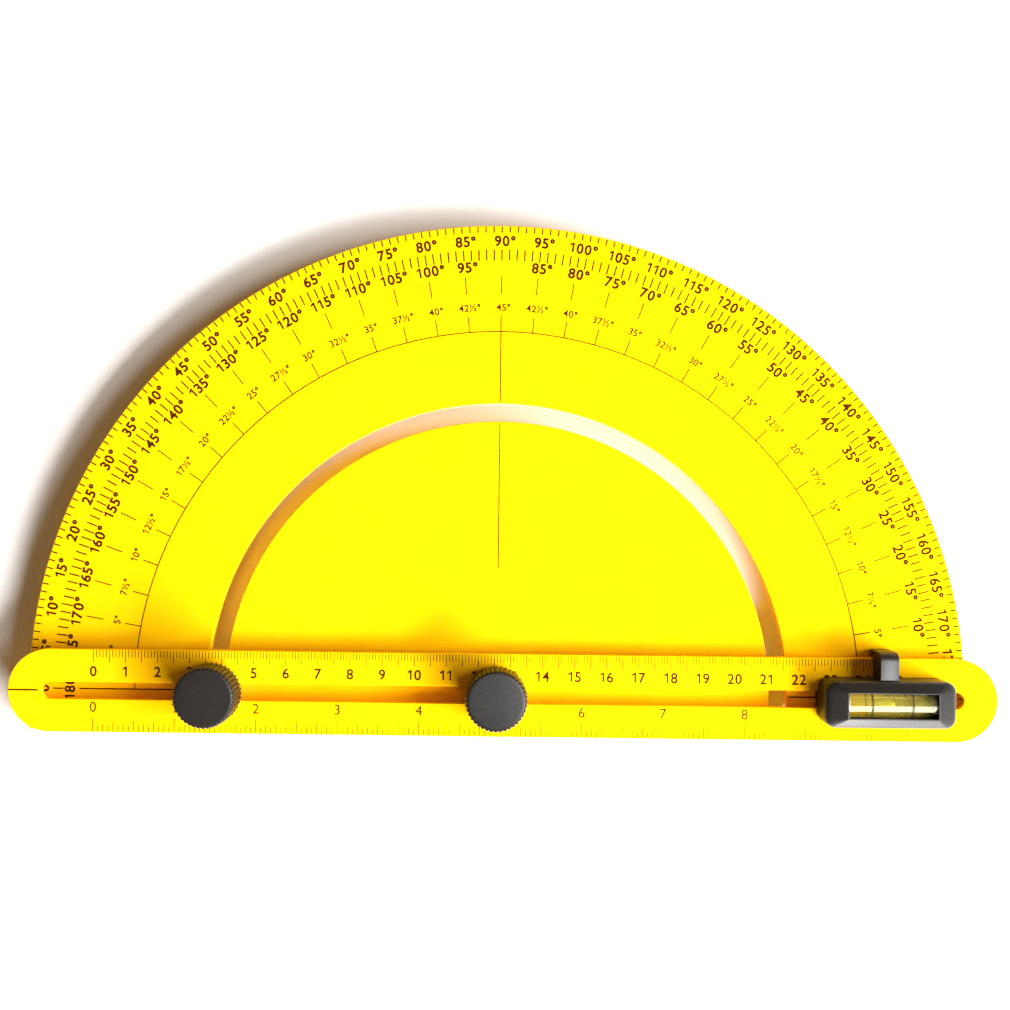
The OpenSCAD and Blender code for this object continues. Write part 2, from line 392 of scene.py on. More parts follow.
def combine(obj, other, operation):
    """Applies an exact boolean of another object, which is then deleted."""
    tool = obj.modifiers.new("Combine", "BOOLEAN")
    tool.operation = operation
    tool.solver = "EXACT"
    tool.object = other
    apply_modifiers(obj)
    bpy.data.objects.remove(other)
    return obj


def evaluated_mesh(obj):
    """An object's shape with its modifiers, as a new mesh."""
    graph = bpy.context.evaluated_depsgraph_get()
    return bpy.data.meshes.new_from_object(obj.evaluated_get(graph), depsgraph=graph)


def apply_modifiers(obj):
    """Makes the object's modified shape its own mesh."""
    mesh = evaluated_mesh(obj)
    obj.modifiers.clear()
    obj.data = mesh


def soften(obj, width):
    """Rounds the edges between faces that meet at more than 35 degrees."""
    bevel = obj.modifiers.new("Soft edges", "BEVEL")
    bevel.width = width * MM
    bevel.segments = 3
    bevel.limit_method = "ANGLE"
    bevel.angle_limit = math.radians(35.0)
    obj.modifiers.new("Weighted normals", "WEIGHTED_NORMAL").keep_sharp = True
    return obj


def set_piece(obj, body, slot, *replaced):
    """Puts a piece on its body and hides the CAD nodes it stands for. The name of its finish, slot, is
    not used.
    """
    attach(obj, body)
    if replaced:
        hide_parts(*replaced)
    return obj


# ---------------- materials

class Nodes:
    """Short forms for building a material's node tree."""

    def __init__(self, name):
        self.material = bpy.data.materials.new(name)
        self.material.use_nodes = True
        self.tree = self.material.node_tree
        self.shader = self.tree.nodes["Principled BSDF"]
        self.coordinates = self.tree.nodes.new("ShaderNodeTexCoord").outputs["Object"]

    def link(self, output, socket):
        self.tree.links.new(output, socket)

    def stretch(self, scale):
        """Object coordinates, in metres, scaled along each axis."""
        mapping = self.tree.nodes.new("ShaderNodeMapping")
        mapping.inputs["Scale"].default_value = scale
        self.link(self.coordinates, mapping.inputs["Vector"])
        return mapping.outputs["Vector"]

    def noise(self, scale, detail=3.0, vector=None):
        """Noise from 0 to 1, at a scale per metre unless a vector is given."""
        node = self.tree.nodes.new("ShaderNodeTexNoise")
        node.inputs["Scale"].default_value = scale
        node.inputs["Detail"].default_value = detail
        self.link(vector or self.coordinates, node.inputs["Vector"])
        return node.outputs["Fac"]

    def spread(self, value, low, high, to_low=0.0, to_high=1.0):
        """Maps the range from low to high onto another, and holds it there."""
        node = self.tree.nodes.new("ShaderNodeMapRange")
        node.clamp = True
        ends = {"From Min": low, "From Max": high, "To Min": to_low, "To Max": to_high}
        for name, number in ends.items():
            node.inputs[name].default_value = number
        self.link(value, node.inputs["Value"])
        return node.outputs["Result"]

    def blend(self, factor, first, second):
        node = self.tree.nodes.new("ShaderNodeMix")
        node.data_type = "RGBA"
        self.link(factor, node.inputs["Factor"])
        node.inputs["A"].default_value = (*first, 1.0)
        node.inputs["B"].default_value = (*second, 1.0)
        return node.outputs["Result"]

    def join(self, operation, first, second):
        """Two values put together by a sum, a maximum or the like."""
        node = self.tree.nodes.new("ShaderNodeMath")
        node.operation = operation
        self.link(first, node.inputs[0])
        self.link(second, node.inputs[1])
        return node.outputs["Value"]

    def bump(self, height, distance, strength=1.0, normal=None):
        """Relief of a given depth in metres, laid over a normal."""
        node = self.tree.nodes.new("ShaderNodeBump")
        node.inputs["Distance"].default_value = distance
        node.inputs["Strength"].default_value = strength
        self.link(height, node.inputs["Height"])
        if normal:
            self.link(normal, node.inputs["Normal"])
        return node.outputs["Normal"]

    def set(self, **values):
        for name, value in values.items():
            self.shader.inputs[name.replace("_", " ")].default_value = value


def moulded_plastic(name, dark, light, roughness, grain, grain_depth, specular=0.5):
    """Moulded plastic: faint colour mottling, a fine mould grain and hairline scratches."""
    n = Nodes(name)
    mottle = n.spread(n.noise(60.0, detail=4.0), 0.35, 0.65)
    n.link(n.blend(mottle, dark, light), n.shader.inputs["Base Color"])
    scratch_noise = n.noise(1.0, detail=5.0, vector=n.stretch((90.0, 1500.0, 900.0)))
    scratch = n.spread(scratch_noise, 0.62, 0.75, to_high=0.12)
    wear = n.spread(n.noise(25.0, detail=2.0), 0.3, 0.7, roughness - 0.05, roughness + 0.05)
    n.link(n.join("ADD", scratch, wear), n.shader.inputs["Roughness"])
    fine = n.bump(n.noise(grain, detail=2.0), grain_depth)
    waves = n.bump(n.noise(45.0, detail=1.0), 0.00004, strength=0.6, normal=fine)
    n.link(waves, n.shader.inputs["Normal"])
    n.set(Specular_IOR_Level=specular)
    return n.material


def printed_ink(name, dark, light):
    """Screen-printed ink: slightly uneven in density and sheen."""
    n = Nodes(name)
    density = n.spread(n.noise(900.0), 0.35, 0.7)
    n.link(n.blend(density, dark, light), n.shader.inputs["Base Color"])
    sheen = n.spread(n.noise(400.0, detail=2.0), 0.3, 0.7, to_low=0.4, to_high=0.65)
    n.link(sheen, n.shader.inputs["Roughness"])
    n.set(Specular_IOR_Level=0.2)
    return n.material


def turned_metal(name, dark, light, roughness, brush):
    """Turned or plated metal, with fine tool marks round its axis."""
    n = Nodes(name)
    marks = n.noise(1.0, detail=4.0, vector=n.stretch(brush))
    n.link(n.blend(n.spread(marks, 0.3, 0.7), dark, light), n.shader.inputs["Base Color"])
    n.link(n.spread(marks, 0.3, 0.7, roughness - 0.08, roughness + 0.1), n.shader.inputs["Roughness"])
    n.link(n.bump(marks, 0.00001), n.shader.inputs["Normal"])
    n.set(Metallic=1.0)
    return n.material


def clear_material(name, dark, light, roughness, ior, transmission=1.0):
    """Clear acrylic or liquid: nearly even colour, with faint streaks from moulding."""
    n = Nodes(name)
    streak_noise = n.noise(1.0, detail=2.0, vector=n.stretch((60.0, 400.0, 400.0)))
    n.link(n.blend(n.spread(streak_noise, 0.3, 0.7), dark, light), n.shader.inputs["Base Color"])
    n.set(Roughness=roughness, IOR=ior, Transmission_Weight=transmission)
    return n.material


# Each pair of colours is the darker and the lighter end of a mottling
YELLOW = moulded_plastic("Yellow plastic", (0.955, 0.51, 0.0012), (0.975, 0.55, 0.0018),
                         roughness=0.34, grain=1800.0, grain_depth=0.000012, specular=0.3)
BLACK = moulded_plastic("Black plastic", (0.006, 0.006, 0.006), (0.011, 0.0105, 0.010),
                        roughness=0.42, grain=2600.0, grain_depth=0.00003)
NYLON = moulded_plastic("Nylon", (0.70, 0.67, 0.58), (0.78, 0.75, 0.67),
                        roughness=0.5, grain=1500.0, grain_depth=0.00001)
PLUG = moulded_plastic("Plug plastic", (0.09, 0.075, 0.03), (0.13, 0.105, 0.045),
                       roughness=0.5, grain=2000.0, grain_depth=0.00001)
INK = printed_ink("Print ink", (0.040, 0.009, 0.0004), (0.080, 0.020, 0.0008))
RING_INK = printed_ink("Ring ink", (0.03, 0.028, 0.015), (0.05, 0.045, 0.025))
STEEL = turned_metal("Zinc-plated steel", (0.52, 0.53, 0.55), (0.66, 0.67, 0.69),
                     roughness=0.3, brush=(300.0, 300.0, 4000.0))
BRASS = turned_metal("Brass", (0.62, 0.42, 0.14), (0.75, 0.54, 0.22),
                     roughness=0.28, brush=(300.0, 300.0, 5000.0))
ACRYLIC = clear_material("Clear acrylic", (0.96, 0.98, 0.93), (0.99, 1.0, 0.97),
                         roughness=0.02, ior=1.49)
FLUID = clear_material("Vial fluid", (0.62, 0.55, 0.09), (0.70, 0.62, 0.13),
                       roughness=0.0, ior=1.36, transmission=0.88)


# ---------------- protractor plate

def build_plate():
    """The moulding: skin with a rounded rim, the arc slot, and the bore for the pivot bolt."""
    s = Shell()
    skin_low = PLATE_TOP - SKIN_T
    outer = s.edged(plate_points, PLATE_TOP, 0.0, PLATE_EDGE)
    slot = s.edged(arc_slot_points, PLATE_TOP, skin_low, ARC_LIP)
    bore = [s.ring(circle_points(BOLT_R + BOLT_CLEARANCE, 48), z) for z in (PLATE_TOP, skin_low)]
    s.wall(bore)
    rim = [s.ring(plate_points(RIM_T), z) for z in (skin_low, 0.0)]
    s.wall(rim)
    s.cap(outer[0], slot[0], bore[0])
    s.cap(rim[0], slot[-1], bore[1])
    s.cap(outer[-1], rim[1])
    return s.finish("plate_moulding", YELLOW)


def band_points(radius, width, start, end, steps=120):
    """A curved strip between two angles."""
    outer = arc_points((0.0, 0.0), radius + width / 2, start, end, steps)
    inner = arc_points((0.0, 0.0), radius - width / 2, end, start, steps)
    return outer + inner


def build_ribs():
    """Stiffening ribs and the pivot boss under the skin, let into it so that they're one moulding."""
    s = Shell()
    top = PLATE_TOP - SKIN_T + LET_IN
    base_y = -BASE_DROP + RIM_T / 2
    for side in (-1, 1):
        radius = ARC_R + side * (CHANNEL + RIB_T / 2)
        dip = math.asin(-base_y / (radius + RIB_T))
        s.prism(lambda inset, r=radius, d=dip: band_points(r, RIB_T, -d, math.pi + d), RIB_LOW, top)
    spans = ((BOSS_R - BOSS_OVERLAP, ARC_R - CHANNEL - RIB_T / 2),
             (ARC_R + CHANNEL + RIB_T / 2, PLATE_R - RIM_T / 2))
    half = RIB_T / 2
    for degrees in range(SPOKE_RIB_STEP, 180, SPOKE_RIB_STEP):
        turn = Matrix.Rotation(math.radians(degrees), 2)
        for near, far in spans:
            corners = [(near, -half), (far, -half), (far, half), (near, half)]
            turned = [tuple(turn @ Vector(corner)) for corner in corners]
            s.prism(lambda inset, p=turned: p, RIB_LOW, top)
    boss = [s.ring(circle_points(BOSS_R, 48), z) for z in (RIB_LOW, top)]
    pocket_r = HEX_POCKET / 2 / math.cos(math.pi / 6)
    pocket = [s.ring(circle_points(pocket_r, 6), z) for z in (RIB_LOW, top)]
    s.wall(boss)
    s.wall(pocket)
    for outer, inner in zip(boss, pocket):
        s.cap(outer, inner)
    return s.finish("plate_ribs", YELLOW)


# ---------------- rule arm

def build_rule():
    """The slotted bar, with the guide groove under its slot."""
    s = Shell()

    def outline(inset):
        return bar_points(RULE_L - 2 * inset, RULE_W - 2 * inset, RULE_X, 64)

    def slot_outline(grow):
        return bar_points(SLOT_L + 2 * grow, SLOT_W + 2 * grow, RULE_X, 24)

    outer = s.edged(outline, RULE_TOP, RULE_BOTTOM, RULE_EDGE)
    ceiling = RULE_BOTTOM + GROOVE_D
    slot = [s.ring(slot_outline(inset), RULE_TOP - fall) for inset, fall in rounded(RULE_LIP)]
    slot.append(s.ring(slot_outline(0.0), ceiling))
    s.wall(slot)
    groove_points = bar_points(GROOVE_L, GROOVE_W, RULE_X, 24)
    groove = [s.ring(groove_points, z) for z in (ceiling, RULE_BOTTOM)]
    s.wall(groove)
    s.cap(outer[0], slot[0])
    s.cap(slot[-1], groove[0])
    s.cap(outer[-1], groove[1])
    return s.finish("rule_bar", YELLOW)


# ---------------- print

class Print(Shell):
    """Thin raised ink: bars and labels laid on one face."""

    def __init__(self, face_z):
        super().__init__()
        self.low = face_z - INK_T / 2
        self.high = face_z + INK_T
        self.glyphs = {}

    def quad(self, corners):
        rings = [self.ring(corners, z) for z in (self.low, self.high)]
        self.bm.faces.new(rings[0])
        self.bm.faces.new(rings[1])
        self.wall(rings)

    def line(self, start, end, width=LINE):
        a = Vector(start)
        b = Vector(end)
        along = (b - a).normalized()
        side = Vector((-along.y, along.x)) * width / 2
        self.quad([tuple(p) for p in (a - side, b - side, b + side, a + side)])

    def spoke(self, angle, near, far, width=LINE):
        direction = Vector((math.cos(angle), math.sin(angle)))
        self.line(direction * near, direction * far, width)

    def arc(self, radius, start, end, width=FINE_LINE):
        """A line along a circle about the pivot, in pieces of one degree."""
        pieces = round((end - start) / math.radians(1.0))
        angles = [start + (end - start) * i / pieces for i in range(pieces + 1)]
        points = [(math.cos(a), math.sin(a)) for a in angles]
        outer = radius + width / 2
        inner = radius - width / 2
        rows = []
        for r, z in ((outer, self.low), (outer, self.high), (inner, self.high), (inner, self.low)):
            rows.append(self.ring([(x * r, y * r) for x, y in points], z))
        for a, b in zip(rows, rows[1:] + rows[:1]):
            for i in range(pieces):
                self.bm.faces.new((a[i], a[i + 1], b[i + 1], b[i]))
        for i in (0, -1):
            self.bm.faces.new([row[i] for row in rows])

    def glyph(self, char, bold):
        """A character of cap height 1 on its base line: its points, faces and cell width.

        Each point is (x, y, whether it's on the upper face)."""
        key = (char, bold)
        if key not in self.glyphs:
            make = {"1": self.figure_one, "°": self.degree_sign}.get(char)
            self.glyphs[key] = make(bold) if make else self.font_glyph(char, bold)
        return self.glyphs[key]

    @staticmethod
    def font_glyph(char, bold):
        """A character of the built-in font, in the middle of its cell."""
        curve = bpy.data.curves.new("label", "FONT")
        curve.body = char
        curve.resolution_u = 4
        curve.offset = bold
        curve.extrude = 0.5
        obj = add_object("label", curve)
        mesh = evaluated_mesh(obj)
        points = [(v.co.x / FONT_CAP, v.co.y / FONT_CAP, v.co.z > 0) for v in mesh.vertices]
        left = min(point[0] for point in points)
        right = max(point[0] for point in points)
        cell = max(DIGIT_CELL, right - left + SIGN_GAP)
        shift = (cell - left - right) / 2
        faces = [tuple(face.vertices) for face in mesh.polygons]
        bpy.data.objects.remove(obj)
        return [(x + shift, y, top) for x, y, top in points], faces, cell

    @staticmethod
    def figure_one(bold):
        """A figure 1 with a flag, as in a plain grotesque face."""
        right = DIGIT_CELL / 2 + STEM + bold
        left = right - STEM - 2 * bold
        flag = left - FLAG_REACH
        flag_high, flag_low = FLAG_TIP
        outline = [(left, 0.0), (right, 0.0), (right, 1.0), (left + STEM_TOP_CUT, 1.0),
                   (flag, flag_high), (flag, flag_low - bold), (left, FLAG_ROOT - bold)]
        return Print.slab([outline]) + (DIGIT_CELL,)

    @staticmethod
    def degree_sign(bold):
        """A heavy small ring at cap height."""
        middle = (DEGREE_R + SIGN_GAP, 1.0 - DEGREE_R)
        rings = [[(x + middle[0], y + middle[1]) for x, y in circle_points(radius, DEGREE_POINTS)]
                 for radius in (DEGREE_R + bold, DEGREE_HOLE - bold)]
        return Print.slab(rings) + (2 * (DEGREE_R + SIGN_GAP),)

    @staticmethod
    def slab(outlines):
        """Points and faces of a flat block: one outline filled in, or the ring between two."""
        count = len(outlines[0])
        points = [(x, y, top) for top in (False, True) for outline in outlines for x, y in outline]
        turn = [(i, (i + 1) % count) for i in range(count)]
        if len(outlines) == 1:
            faces = [tuple(range(count)), tuple(range(count, 2 * count))]
            loops = ((0, count),)
        else:
            faces = [(base + i, base + j, base + count + j, base + count + i)
                     for base in (0, 2 * count) for i, j in turn]
            loops = ((0, 2 * count), (count, 3 * count))
        faces += [(low + i, low + j, high + j, high + i) for low, high in loops for i, j in turn]
        return points, faces

    def label(self, text, place, turn, cap, bold=0.0):
        """Sets text with its figures centred on a place; a degree sign hangs out on the right."""
        glyphs = [self.glyph(char, bold) for char in text]
        pen = -sum(cell for (_, _, cell), char in zip(glyphs, text) if char != "°") / 2
        cos, sin = math.cos(turn), math.sin(turn)
        for points, faces, cell in glyphs:
            verts = []
            for x, y, top in points:
                px, py = (pen + x) * cap, y * cap
                spot = (place[0] + px * cos - py * sin, place[1] + px * sin + py * cos)
                verts.append(self.bm.verts.new((*spot, self.high if top else self.low)))
            for face in faces:
                self.bm.faces.new([verts[i] for i in face])
            pen += cell

    def radial_label(self, text, degrees, radius, cap, bold=0.0):
        """A label that stands on a circle about the pivot, its top pointing outwards."""
        a = math.radians(degrees)
        self.label(text, (radius * math.cos(a), radius * math.sin(a)), a - math.pi / 2, cap, bold)

    def finish(self, name):
        bmesh.ops.remove_doubles(self.bm, verts=self.bm.verts, dist=WELD)
        return super().finish(name, INK, 30.0, weighted=False)


def half_angle_text(degrees):
    """Half of the smaller angle to the base line, with a half sign where it needs one."""
    whole, rest = divmod(min(degrees, 180 - degrees), 2)
    return f"{whole}{'½' if rest else ''}°"


def build_plate_print():
    """Two one-degree scales with labels, the half-angle scale inside them, and the centre lines."""
    p = Print(PLATE_TOP)
    for degrees in range(181):
        a = math.radians(degrees)
        p.spoke(a, *OUTER_TICKS)
        p.spoke(a, *INNER_TICKS)
    for degrees in range(0, 181, ANGLE_STEP):
        a = math.radians(degrees)
        p.radial_label(f"{180 - degrees}°", degrees, OUTER_LABELS, LABEL_CAP, BOLD)
        if degrees != 90:
            p.radial_label(f"{degrees}°", degrees, INNER_LABELS, LABEL_CAP, BOLD)
        if 0 < degrees < 180:
            p.spoke(a, *LONG_TICKS, FINE_LINE)
            p.spoke(a, *SHORT_TICKS, FINE_LINE)
            p.radial_label(half_angle_text(degrees), degrees, HALF_LABELS, HALF_CAP, BOLD / 2)
    p.arc(SHORT_TICKS[1], 0.0, math.pi)
    slot_edge = ARC_W / 2 + SLOT_GAP
    p.line((0.0, SHORT_TICKS[1]), (0.0, ARC_R + slot_edge), FINE_LINE)
    p.line((0.0, ARC_R - slot_edge), (0.0, MERIDIAN_END), FINE_LINE)
    for side in (-1, 1):
        p.line((side * LONG_TICKS[0], 0.0), (side * (ARC_R + slot_edge), 0.0))
    return p.finish("plate_print")


def inch_tick(sixteenths):
    """Length of an inch tick: the coarser its fraction, the longer it is."""
    return next(length for step, length in INCH_TICKS.items() if sixteenths % step == 0)


def build_rule_print():
    """Centimetres along one edge, inches along the other, and the pointer line at the left end."""
    p = Print(RULE_TOP)
    half = RULE_W / 2
    for mm in range(CM_COUNT * 10 + 1):
        length = CM_TICK if mm % 5 else CM_LONG
        x = ZERO_X + mm
        p.line((x, half - RULE_EDGE), (x, half - length), HAIR_LINE)
    for cm in range(CM_COUNT + 1):
        p.label(str(cm), (ZERO_X + cm * 10, half - CM_LABEL_BASE), 0.0, LABEL_CAP, BOLD / 2)
    for sixteenths in range(INCH_COUNT * 16 + 1):
        x = ZERO_X + sixteenths * INCH / 16
        p.line((x, -half + RULE_EDGE), (x, -half + inch_tick(sixteenths)), HAIR_LINE)
    for inch in range(INCH_COUNT + 1):
        p.label(str(inch), (ZERO_X + inch * INCH, -half + INCH_LABEL_BASE), 0.0, LABEL_CAP)
    left = RULE_X - RULE_L / 2
    slot_left = RULE_X - SLOT_L / 2
    p.line((left + RULE_EDGE, 0.0), (slot_left - POINTER_GAP, 0.0), POINTER_LINE)
    return p.finish("rule_print")


# ---------------- knobs

def ridge_points(radius, depth, centre):
    """A circle with rounded ridges whose flutes are cut to a depth."""
    def radius_at(angle, _):
        return radius - depth * (1 - abs(math.cos(angle * RIDGES / 2)))

    return polar_points(radius_at, RIDGES * POINTS_PER_RIDGE, centre)


def build_knob(name, x):
    """A ridged knob: the ridges fade into a rounded top edge round a very slightly domed face."""
    s = Shell()
    centre = (x, 0.0)
    shoulder = KNOB_TOP - KNOB_ROUND
    rings = [s.ring(ridge_points(KNOB_R - inset, RIDGE_DEPTH * share, centre), KNOB_BOTTOM + height)
             for inset, share, height in KNOB_FOOT]
    rings.append(s.ring(ridge_points(KNOB_R, RIDGE_DEPTH, centre), shoulder - RIDGE_STOP))
    for i in range(ROUND_STEPS + 1):
        a = math.pi / 2 * i / ROUND_STEPS
        fade = RIDGE_DEPTH * (1 - i / ROUND_STEPS)
        radius = KNOB_R - KNOB_ROUND * (1 - math.cos(a))
        z = shoulder + KNOB_ROUND * math.sin(a) - ROUND_FALL
        rings.append(s.ring(ridge_points(radius, fade, centre), z))
    for radius, fall in KNOB_FACE:
        rings.append(s.ring(circle_points(radius, RIDGES * POINTS_PER_RIDGE, centre), KNOB_TOP - fall))
    s.wall(rings)
    s.cap(rings[-1])
    ceiling = KNOB_BOTTOM + POCKET_H
    pocket = [s.ring(circle_points(POCKET_R, 64, centre), z) for z in (KNOB_BOTTOM, ceiling)]
    bore = [s.ring(circle_points(BOLT_R + BOLT_CLEARANCE, 64, centre), z)
            for z in (ceiling, KNOB_BOTTOM + KNOB_BORE_H)]
    s.wall(pocket)
    s.wall(bore)
    s.cap(rings[0], pocket[0])
    s.cap(pocket[1], bore[0])
    s.cap(bore[1])
    return s.finish(name, BLACK, 50.0)


def build_insert(name, x):
    """Brass insert with a band of fine knurling each side of its groove."""
    s = Shell()
    centre = (x, 0.0)
    low = KNOB_BOTTOM + INSERT_LIFT
    groove_low = low + BAND_H
    groove_high = groove_low + GROOVE_H
    high = low + 2 * BAND_H + GROOVE_H
    knurled = polar_points(lambda angle, i: INSERT_R - KNURL_DEPTH * (i % 2), INSERT_POINTS, centre)
    waist = circle_points(INSERT_WAIST, INSERT_POINTS, centre)
    outlines = ((knurled, low), (knurled, groove_low), (waist, groove_low),
                (waist, groove_high), (knurled, groove_high), (knurled, high))
    outer = [s.ring(points, z) for points, z in outlines]
    bore_points = circle_points(BOLT_R + INSERT_CLEARANCE, INSERT_POINTS, centre)
    bore = [s.ring(bore_points, z) for z in (high, low)]
    s.wall(outer + bore + [outer[0]])
    return s.finish(name, BRASS, 30.0)


def threaded_shank(shell, x, low, high):
    """A shank with a rolled thread, closed by a chamfered end."""
    around = 32
    per_turn = 8
    steps = int((high - low) / THREAD_PITCH * per_turn)
    rings = []
    for k in range(steps + 1):
        z = low + (high - low) * k / steps
        depth = THREAD_DEPTH * min(1.0, k / per_turn, (steps - k) / per_turn)
        chamfer = SHANK_CHAMFER * max(0.0, 1 - (steps - k) / 4)

        def radius_at(_, i):
            phase = (z / THREAD_PITCH - i / around) % 1.0
            return BOLT_R - depth * abs(2 * phase - 1) - chamfer

        rings.append(shell.ring(polar_points(radius_at, around, (x, 0.0)), z))
    shell.solid(rings)


def hexagon_points(flats_r, cap_r, per_side=8):
    """A hexagon of a given radius to its flats, with its corners cut by a circle."""
    def radius_at(angle, _):
        return min(flats_r / math.cos((angle + math.pi / 6) % (math.pi / 3) - math.pi / 6), cap_r)

    return polar_points(radius_at, 6 * per_side)


def build_pivot_bolt():
    """Thin hexagon head with chamfered corners, and a threaded shank."""
    s = Shell()
    low, high = box_mm("pivot_bolt")
    head_top = PLATE_TOP - SKIN_T
    corner_r = (high.x - low.x) / 2
    flats_r = corner_r * math.cos(math.pi / 6)
    rings = [s.ring(hexagon_points(flats_r, flats_r - HEX_INSET), low.z),
             s.ring(hexagon_points(flats_r, corner_r), low.z + HEX_CHAMFER),
             s.ring(hexagon_points(flats_r, corner_r), head_top)]
    s.solid(rings)
    threaded_shank(s, 0.0, head_top - OVERLAP, high.z)
    return s.finish("pivot_bolt_detail", STEEL, 35.0)


def build_arc_bolt():
    """Low round head, square neck for the slot, and a threaded shank."""
    s = Shell()
    low, high = box_mm("arc_bolt")
    head_r = (high.x - low.x) / 2
    neck_low = low.z + HEAD_H
    neck_high = PLATE_TOP - NECK_DROP
    x = -ARC_R
    profile = [(head_r - inset, low.z + height) for inset, height in HEAD_ROUND]
    profile = [(0.0, low.z)] + profile + [(head_r, neck_low), (0.0, neck_low)]
    s.lathe(profile, centre=(x, 0.0, 0.0))

    def square(inset):
        w = NECK - inset
        v = w - NECK_CORNER
        return [(x + w, -v), (x + w, v), (x + v, w), (x - v, w),
                (x - w, v), (x - w, -v), (x - v, -w), (x + v, -w)]

    s.prism(square, neck_low - OVERLAP, neck_high, NECK_EDGE)
    threaded_shank(s, x, neck_high - OVERLAP, high.z)
    return s.finish("arc_bolt_detail", STEEL, 35.0)


def build_washer(name, node, material):
    """A flat washer with its edges broken."""
    low, high = box_mm(node)
    x = (low.x + high.x) / 2
    radius = (high.x - low.x) / 2
    bore = SLIP_WASHER_BORE if node == "arc_slip_washer" else BOLT_R + WASHER_CLEARANCE
    c = WASHER_EDGE
    profile = [(bore + c, low.z), (radius - c, low.z), (radius, low.z + c), (radius, high.z - c),
               (radius - c, high.z), (bore + c, high.z), (bore, high.z - c), (bore, low.z + c)]
    s = Shell()
    s.lathe(profile, 96, centre=(x, 0.0, 0.0))
    return s.finish(name, material, 60.0)


# ---------------- spirit level

def level_outline(share, steps=10):
    """Outline of the block: its wall at a share of 0, and the rim of its window at a share of 1."""
    half_l = LEVEL_L / 2 - share * (LEVEL_L - WINDOW_L - 2 * RIM) / 2
    half_w = LEVEL_W / 2 - share * (LEVEL_W - WINDOW_W - 2 * RIM) / 2
    r = CORNER_R + share * (2 * RIM - CORNER_R)
    x, y = half_l - r, half_w - r
    points = []
    for cx, cy, start in ((x, y, 0.0), (-x, y, 0.5), (-x, -y, 1.0), (x, -y, 1.5)):
        points += arc_points((LEVEL_X + cx, cy), r, start * math.pi, (start + 0.5) * math.pi, steps)
    return points


def curve_through(start, corner, end, steps=6):
    """A rounded corner between two straight runs, as a quadratic curve."""
    made = []
    for i in range(steps + 1):
        t = i / steps
        made.append(tuple((1 - t) ** 2 * a + 2 * t * (1 - t) * b + t * t * c
                          for a, b, c in zip(start, corner, end)))
    return made


def tab_profile():
    """Side view of the pointer tab, as (y, z): flat on top, rounded outside, hooked down."""
    top = LEVEL_BOTTOM + TAB_H
    crown = arc_points((TAB_OUT - TAB_ROUND, top - TAB_ROUND), TAB_ROUND, 0.0, math.pi / 2, 8)
    low = [(TAB_ROOT, LEVEL_BOTTOM), (TAB_INNER, LEVEL_BOTTOM), (TAB_INNER, TAB_LOW), (TAB_OUT, TAB_LOW)]
    return low + crown + [(TAB_ROOT, top)]


def slice_along_x(outline, length, name):
    """A block about the level's middle with an outline of (y, z) points."""
    s = Shell()
    ends = [[s.bm.verts.new((LEVEL_X + side * length / 2, y, z)) for y, z in outline] for side in (-1, 1)]
    s.solid(ends)
    return s.finish(name, BLACK, weighted=False)


def build_level():
    """Housing block that slopes up to its window, the vial's bed, and the pointer tab.

    Its profile runs up from a broken foot, as (share, height) for level_outline."""
    rise = LEVEL_TOP - LEVEL_BOTTOM - WALL_H
    shoulder = LEVEL_BOTTOM + WALL_H
    profile = [(0.04, LEVEL_BOTTOM), (0.0, LEVEL_BOTTOM + 0.25)]
    profile += curve_through((0.0, shoulder - 0.9), (0.0, shoulder), (0.3, shoulder + 0.3 * rise))
    crest = curve_through((0.86, shoulder + 0.86 * rise), (1.0, LEVEL_TOP), (1.0, LEVEL_TOP - 0.01), 4)
    profile += crest[:-1]
    s = Shell()
    rings = [s.ring(level_outline(share), z) for share, z in profile]
    s.wall(rings)
    s.bm.faces.new(rings[0])
    s.bm.faces.new(rings[-1])
    housing = s.finish("level_block", BLACK, weighted=False)

    tab = soften(slice_along_x(tab_profile(), TAB_W, "tab"), TAB_EDGE)
    apply_modifiers(tab)
    combine(housing, tab, "UNION")

    left = LEVEL_X - WINDOW_L / 2
    right = LEVEL_X + WINDOW_L / 2
    half = WINDOW_W / 2
    corners = [(left, -half), (right, -half), (right, half), (left, half)]
    window = Shell()
    window.prism(lambda inset: corners, VIAL_Z, LEVEL_TOP + CUT_PAST)
    combine(housing, window.finish("window", BLACK, weighted=False), "DIFFERENCE")

    bed_r = VIAL_R + BED_GAP
    bed_low = LEVEL_BOTTOM - CUT_PAST
    bed_outline = [(-bed_r, bed_low), (bed_r, bed_low)]
    bed_outline += arc_points((0.0, VIAL_Z), bed_r, 0.0, math.pi, 32)
    combine(housing, slice_along_x(bed_outline, VIAL_L + 2 * BED_GAP, "bed"), "DIFFERENCE")
    housing.data.set_sharp_from_angle(angle=math.radians(38))
    return housing


def along_level(profile, name, material):
    """A turned piece on the vial's axis; the profile's heights run along X from the level's middle."""
    s = Shell()
    s.lathe(profile, axis_x=True, centre=(LEVEL_X, 0.0, VIAL_Z))
    return s.finish(name, material, 45.0)


def build_vial_tube():
    """Clear tube, open at both ends, with its outer edges broken."""
    half = VIAL_L / 2
    c = VIAL_EDGE
    profile = [(VIAL_BORE, -half), (VIAL_R - c, -half), (VIAL_R, -half + c), (VIAL_R, half - c),
               (VIAL_R - c, half), (VIAL_BORE, half)]
    return along_level(profile, "vial_glass", ACRYLIC)


